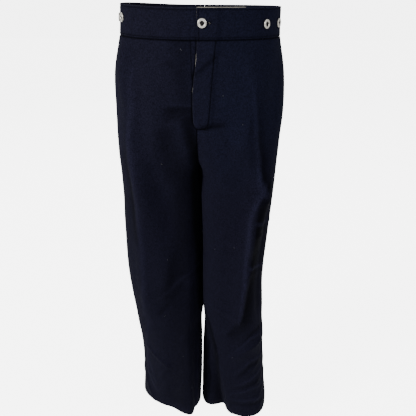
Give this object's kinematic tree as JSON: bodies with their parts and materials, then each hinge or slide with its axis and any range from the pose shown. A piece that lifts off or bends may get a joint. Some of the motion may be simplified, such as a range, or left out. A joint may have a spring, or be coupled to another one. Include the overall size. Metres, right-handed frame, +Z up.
{
  "type": "uniform trousers",
  "caption": "Dark navy wool uniform trousers with a buttoned waistband, a buttoned fly and straight legs, filled out as worn.",
  "frame": {"origin": "middle of the waistband's ring, 23.5 mm below its top edge, where the trousers are held", "axes": "+Z up towards the waist, -Y towards the front with the fly, +X towards the wearer's left"},
  "size_m": [0.3562, 0.2583, 1.0064],
  "materials": {
    "navy_wool": "matte",
    "pale_cotton": "matte",
    "dark_cotton": "matte",
    "button_metal": "satin"
  },
  "bodies": {
    "root": {"front_left": "navy_wool", "front_right": "navy_wool", "back_left": "navy_wool", "back_right": "navy_wool", "waistband_left": "navy_wool", "waistband_right": "navy_wool", "waistband_facing_left": "pale_cotton", "waistband_facing_right": "pale_cotton", "fly_facing": "pale_cotton", "fly_underlap": "dark_cotton", "button_front": "button_metal", "button_brace_left_a": "button_metal", "button_brace_left_b": "button_metal", "button_brace_right_a": "button_metal", "button_brace_right_b": "button_metal", "button_brace_back_left": "button_metal", "button_brace_back_right": "button_metal"}
  },
  "joints": []
}
